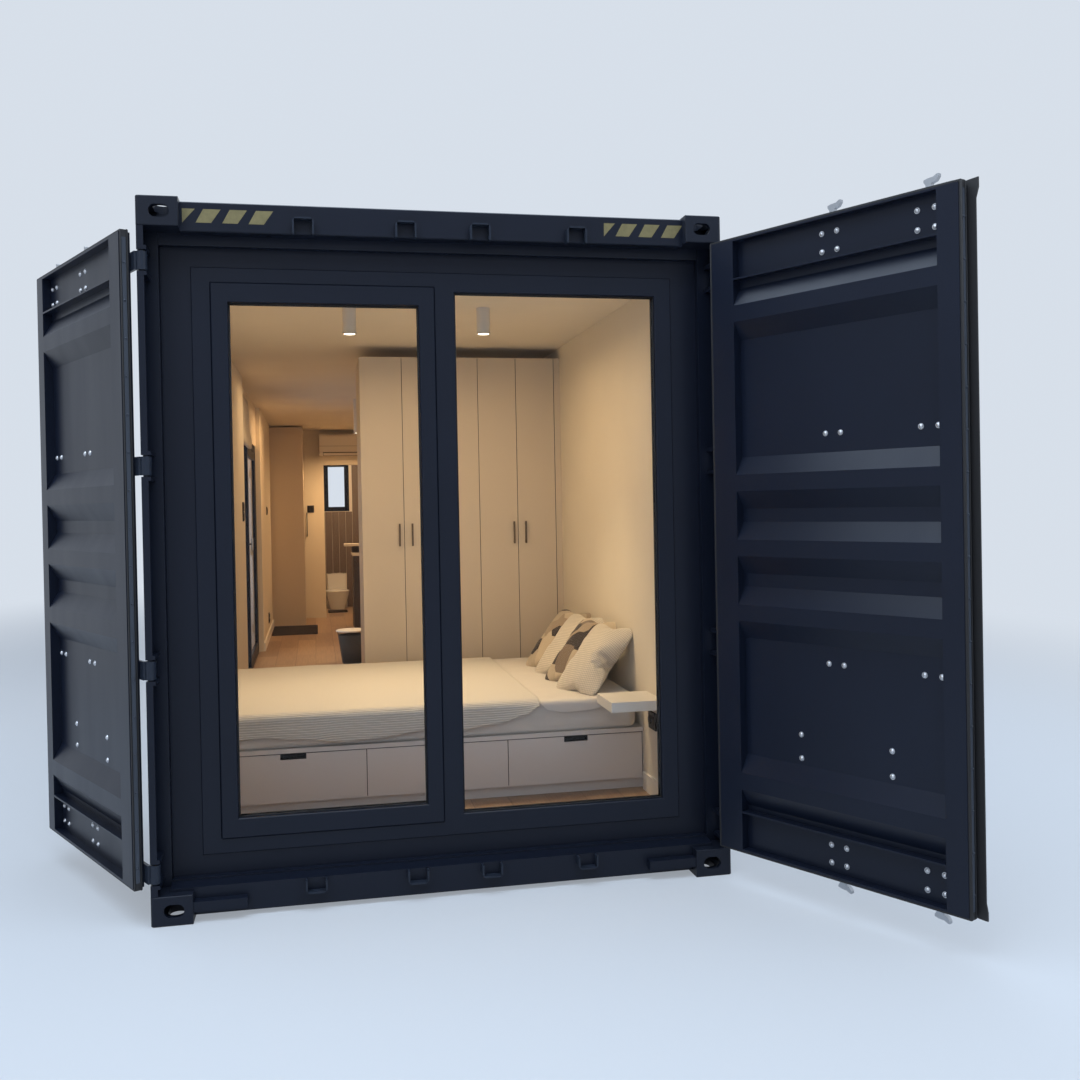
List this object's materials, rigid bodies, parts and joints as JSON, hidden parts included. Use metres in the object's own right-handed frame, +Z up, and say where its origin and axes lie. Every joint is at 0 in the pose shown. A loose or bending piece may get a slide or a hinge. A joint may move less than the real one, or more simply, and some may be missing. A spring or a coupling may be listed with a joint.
{
  "type": "shipping container cabin",
  "caption": "Dark corrugated freight container fitted out as a one-room cabin, its cargo doors folded open in front of a full-height glazed wall.",
  "frame": {"origin": "middle of the footprint, on the plane of the bottom corner castings' undersides", "axes": "+X across the container to the right seen from the cargo-door end, +Y along the container from the cargo doors to the back end, +Z up"},
  "size_m": [3.5786, 13.2576, 2.896],
  "materials": {
    "container_paint": "satin near-black blue-grey marine paint",
    "casting_paint": "thick satin paint over rough cast steel",
    "door_paint": "satin near-black blue-grey marine paint, lightly worn",
    "rod_paint": "satin paint over forged steel, worn at the hooks",
    "gasket_rubber": "matt black extruded rubber",
    "infill_paint": "fine-textured dark anthracite coating",
    "frame_coating": "powder-coated anthracite profiles",
    "clear_glass": "clear double glazing",
    "lining_board": "cream-white painted board",
    "floor_wood": "light oak laminate planks",
    "trim_white": "white lacquered moulding",
    "cabinet_white": "off-white lacquered board",
    "bed_board": "off-white lacquered board",
    "mattress_fabric": "white cotton sheet",
    "blanket_fabric": "off-white ribbed cotton",
    "pillow_fabric": "printed cotton",
    "lamp_paint": "white enamel",
    "appliance_plastic": "white moulded plastic",
    "blind_fabric": "light woven linen",
    "table_finish": "white lacquered disc on a grey mesh basket",
    "ceramic": "white glazed ceramic",
    "mat_fabric": "dark brown coir and cotton",
    "frame_steel": "dull dark undercoating"
  },
  "bodies": {
    "cabin": {"bottom_corner_castings": "casting_paint", "top_front_corner_castings": "casting_paint", "top_back_corner_castings": "casting_paint", "corner_posts": "container_paint", "door_header": "container_paint", "door_sill": "container_paint", "cam_keepers": "rod_paint", "back_end_frame": "container_paint", "side_rails": "container_paint", "side_walls": "container_paint", "roof_panel": "container_paint", "back_end_wall": "container_paint", "floor_frame": "frame_steel", "front_infill_wall": "infill_paint", "window_frames": "frame_coating", "window_sash": "frame_coating", "window_glass": "clear_glass", "side_door_frame": "frame_coating", "room_linings": "lining_board", "laminate_floor": "floor_wood", "skirting_boards": "trim_white", "bathroom_partition": "lining_board", "wardrobe": "cabinet_white", "bed_base": "bed_board", "mattress": "mattress_fabric", "blanket": "blanket_fabric", "pillows": "pillow_fabric", "bedside_shelf": "bed_board", "ceiling_lamps": "lamp_paint", "tall_cabinet": "cabinet_white", "air_conditioner": "appliance_plastic", "kitchen_counter": "cabinet_white", "roman_blind": "blind_fabric", "side_table": "table_finish", "toilet": "ceramic", "floor_mats": "mat_fabric"},
    "left_cargo_door": {"left_door_leaf": "door_paint", "left_door_gasket": "gasket_rubber", "left_door_hardware": "rod_paint"},
    "right_cargo_door": {"right_door_leaf": "door_paint", "right_door_gasket": "gasket_rubber", "right_door_hardware": "rod_paint"},
    "left_outer_rod": {"left_outer_lock_rod": "rod_paint"},
    "left_inner_rod": {"left_inner_lock_rod": "rod_paint"},
    "right_outer_rod": {"right_outer_lock_rod": "rod_paint"},
    "right_inner_rod": {"right_inner_lock_rod": "rod_paint"},
    "side_door": {"side_door_leaf": "frame_coating", "side_door_glass": "clear_glass"}
  },
  "joints": [
    {"name": "left_cargo_door_hinge", "type": "hinge", "parent": "cabin", "child": "left_cargo_door", "pos_m": [-1.2, -6.074, 0], "axis": [0, 0, -1], "range_deg": [-242, 2]},
    {"name": "right_cargo_door_hinge", "type": "hinge", "parent": "cabin", "child": "right_cargo_door", "pos_m": [1.2, -6.074, 0], "axis": [0, 0, 1], "range_deg": [-118, 126]},
    {"name": "side_door_hinge", "type": "hinge", "parent": "cabin", "child": "side_door", "pos_m": [-1.222, 0.9915, 0], "axis": [0, 0, -1], "range_deg": [0, 95]},
    {"name": "left_outer_rod_turn", "type": "hinge", "parent": "left_cargo_door", "child": "left_outer_rod", "pos_m": [-1.4972, -5.53209, 0], "axis": [0, 0, 1], "range_deg": [0, 90]},
    {"name": "left_inner_rod_turn", "type": "hinge", "parent": "left_cargo_door", "child": "left_inner_rod", "pos_m": [-1.69297, -5.1639, 0], "axis": [0, 0, 1], "range_deg": [0, 90]},
    {"name": "right_outer_rod_turn", "type": "hinge", "parent": "right_cargo_door", "child": "right_outer_rod", "pos_m": [1.48307, -6.62342, 0], "axis": [0, 0, -1], "range_deg": [0, 90]},
    {"name": "right_inner_rod_turn", "type": "hinge", "parent": "right_cargo_door", "child": "right_inner_rod", "pos_m": [1.67884, -6.99161, 0], "axis": [0, 0, -1], "range_deg": [0, 90]}
  ]
}
